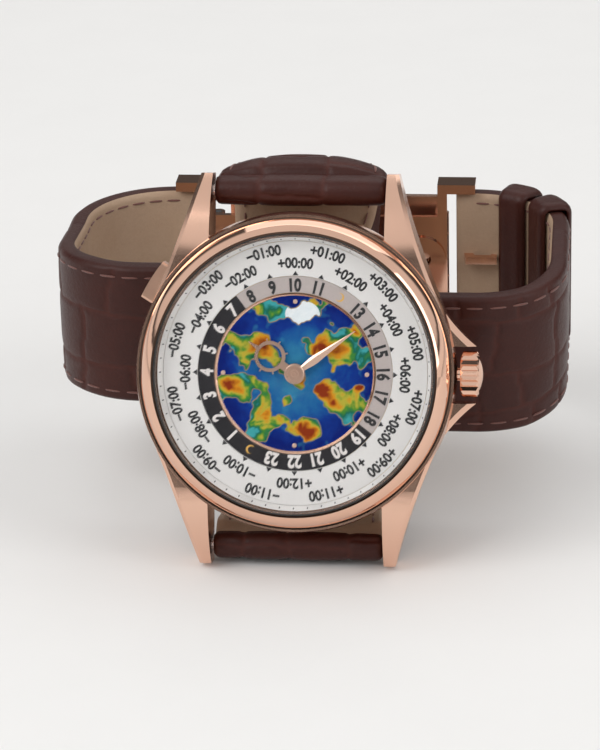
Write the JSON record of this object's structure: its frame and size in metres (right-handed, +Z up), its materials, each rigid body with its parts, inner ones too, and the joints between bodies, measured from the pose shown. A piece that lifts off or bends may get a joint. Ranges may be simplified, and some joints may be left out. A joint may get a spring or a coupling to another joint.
{
  "type": "wristwatch",
  "caption": "World time wristwatch with turning place and day rings, hands, crown, pusher, visible movement and a leather strap looped to a folding clasp.",
  "frame": {"origin": "on the floor under the middle of the whole watch", "axes": "+Z up, +X to the wearer's 3 o'clock, +Y from the dial to the clasp behind it; the head leans back 18 degrees"},
  "size_m": [0.0671, 0.0566, 0.0481],
  "materials": {
    "rose_gold": "polished",
    "gold_trim": "polished",
    "glass": "clear",
    "silver_print": "satin",
    "black_print": "satin",
    "enamel": "gloss",
    "leather": "satin",
    "lining": "matte",
    "steel": "satin",
    "gilt_brass": "satin",
    "seal": "matte",
    "ruby": "clear"
  },
  "bodies": {
    "case": {"case_middle": "rose_gold", "bezel": "rose_gold", "crystal": "glass", "crystal_gasket": "seal", "rehaut_ring": "silver_print", "dial_base": "gilt_brass", "map_dial": "enamel", "map_rim": "gold_trim", "dial_pips": "gold_trim", "main_plate": "steel", "train_bridge": "steel", "barrel_bridge": "steel", "balance_cock": "steel", "jewels": "ruby", "bridge_screws": "steel", "hairspring": "steel", "movement_ring": "steel", "case_back_ring": "rose_gold", "case_back_crystal": "glass", "case_back_gasket": "seal", "crown_tube": "steel", "pusher_tube": "steel", "spring_bar_upper": "steel", "spring_bar_lower": "steel", "strap_upper": "leather", "strap_upper_lining": "lining", "strap_lower": "leather", "strap_lower_lining": "lining", "keeper_fixed": "leather", "clasp_bow": "rose_gold", "blade_pin": "steel", "clasp_bars": "rose_gold"},
    "minute_group": {"minute_hand": "rose_gold", "cannon_pinion": "steel", "center_wheel": "gilt_brass", "hand_cap": "rose_gold"},
    "hour_group": {"hour_hand": "rose_gold", "hour_wheel": "gilt_brass"},
    "minute_work": {"minute_wheel": "gilt_brass"},
    "day_ring": {"hour_ring": "black_print"},
    "place_ring": {"city_ring": "silver_print"},
    "mainspring_barrel": {"barrel": "gilt_brass"},
    "third": {"third_wheel": "gilt_brass"},
    "fourth": {"fourth_wheel": "gilt_brass"},
    "escape": {"escape_wheel": "steel"},
    "pallet": {"pallet_fork": "steel"},
    "balance": {"balance_wheel": "gilt_brass"},
    "rotor": {"micro_rotor": "rose_gold"},
    "place_pusher": {"pusher": "rose_gold"},
    "crown_slide": {"crown_gasket": "seal"},
    "crown_group": {"crown": "rose_gold", "winding_stem": "steel"},
    "blade": {"clasp_blade": "rose_gold", "cover_pin": "steel"},
    "cover": {"clasp_cover": "rose_gold"},
    "tongue": {"buckle_tongue": "rose_gold"},
    "loose_keeper": {"keeper_sliding": "leather"}
  },
  "joints": [
    {"name": "minute_hand_turn", "type": "hinge", "parent": "case", "child": "minute_group", "pos_m": [0, -0.01827, 0.02499], "axis": [0, -0.9511, 0.309], "continuous": true},
    {"name": "hour_hand_turn", "type": "hinge", "parent": "case", "child": "hour_group", "pos_m": [0, -0.01827, 0.02499], "axis": [0, -0.9511, 0.309], "continuous": true},
    {"name": "minute_wheel_turn", "type": "hinge", "parent": "case", "child": "minute_work", "pos_m": [-0.00082, -0.01896, 0.02284], "axis": [0, -0.9511, 0.309], "continuous": true},
    {"name": "day_ring_turn", "type": "hinge", "parent": "case", "child": "day_ring", "pos_m": [0, -0.01827, 0.02499], "axis": [0, -0.9511, 0.309], "continuous": true},
    {"name": "place_ring_turn", "type": "hinge", "parent": "case", "child": "place_ring", "pos_m": [0, -0.01827, 0.02499], "axis": [0, -0.9511, 0.309], "continuous": true},
    {"name": "barrel_turn", "type": "hinge", "parent": "case", "child": "mainspring_barrel", "pos_m": [-0.0052, -0.0196, 0.02089], "axis": [0, -0.9511, 0.309], "continuous": true},
    {"name": "third_wheel_turn", "type": "hinge", "parent": "case", "child": "third", "pos_m": [0.0026, -0.01731, 0.02794], "axis": [0, -0.9511, 0.309], "continuous": true},
    {"name": "fourth_wheel_turn", "type": "hinge", "parent": "case", "child": "fourth", "pos_m": [-0.00034, -0.01678, 0.02955], "axis": [0, -0.9511, 0.309], "continuous": true},
    {"name": "escape_wheel_turn", "type": "hinge", "parent": "case", "child": "escape", "pos_m": [-0.00301, -0.01631, 0.03102], "axis": [0, -0.9511, 0.309], "continuous": true},
    {"name": "pallet_rock", "type": "hinge", "parent": "case", "child": "pallet", "pos_m": [-0.00534, -0.0164, 0.03075], "axis": [0, -0.9511, 0.309], "range_deg": [-5, 5]},
    {"name": "balance_swing", "type": "hinge", "parent": "case", "child": "balance", "pos_m": [-0.0073, -0.01725, 0.02813], "axis": [0, -0.9511, 0.309], "range_deg": [-270, 270], "stiffness_Nm_per_rad": 0.00000025},
    {"name": "rotor_swing", "type": "hinge", "parent": "case", "child": "rotor", "pos_m": [0.0062, -0.02, 0.01966], "axis": [0, -0.9511, 0.309], "continuous": true},
    {"name": "place_pusher_press", "type": "slide", "parent": "case", "child": "place_pusher", "axis": [0.848, -0.1638, -0.504], "range_m": [0, 0.0006], "stiffness_N_per_m": 1500, "springref_m": -0.0003},
    {"name": "crown_pull", "type": "slide", "parent": "case", "child": "crown_slide", "axis": [1, 0, 0], "range_m": [0, 0.001]},
    {"name": "crown_turn", "type": "hinge", "parent": "crown_slide", "child": "crown_group", "pos_m": [0, -0.0177, 0.0248], "axis": [1, 0, 0], "continuous": true},
    {"name": "clasp_blade_swing", "type": "hinge", "parent": "case", "child": "blade", "pos_m": [-0.0148, 0.02608, 0.02379], "axis": [0, 0, 1], "range_deg": [0, 100]},
    {"name": "clasp_cover_swing", "type": "hinge", "parent": "blade", "child": "cover", "pos_m": [0.0157, 0.02663, 0.02379], "axis": [0, 0, -1], "range_deg": [0, 100]},
    {"name": "tongue_swing", "type": "hinge", "parent": "case", "child": "tongue", "pos_m": [0.019, 0.02683, 0.02379], "axis": [0, 0, -1], "range_deg": [0, 60]},
    {"name": "keeper_slide", "type": "hinge", "parent": "case", "child": "loose_keeper", "pos_m": [0.02, 0.01483, 0.02379], "axis": [0, 0, -1], "range_deg": [-3, 16]}
  ],
  "couplings": [
    {"joint": "hour_hand_turn", "follows": "minute_hand_turn", "ratio": 0.083333},
    {"joint": "minute_wheel_turn", "follows": "minute_hand_turn", "ratio": -0.33333},
    {"joint": "day_ring_turn", "follows": "minute_hand_turn", "ratio": -0.041667},
    {"joint": "barrel_turn", "follows": "minute_hand_turn", "ratio": -0.15385},
    {"joint": "third_wheel_turn", "follows": "minute_hand_turn", "ratio": -8},
    {"joint": "fourth_wheel_turn", "follows": "minute_hand_turn", "ratio": 60},
    {"joint": "escape_wheel_turn", "follows": "minute_hand_turn", "ratio": -600}
  ]
}
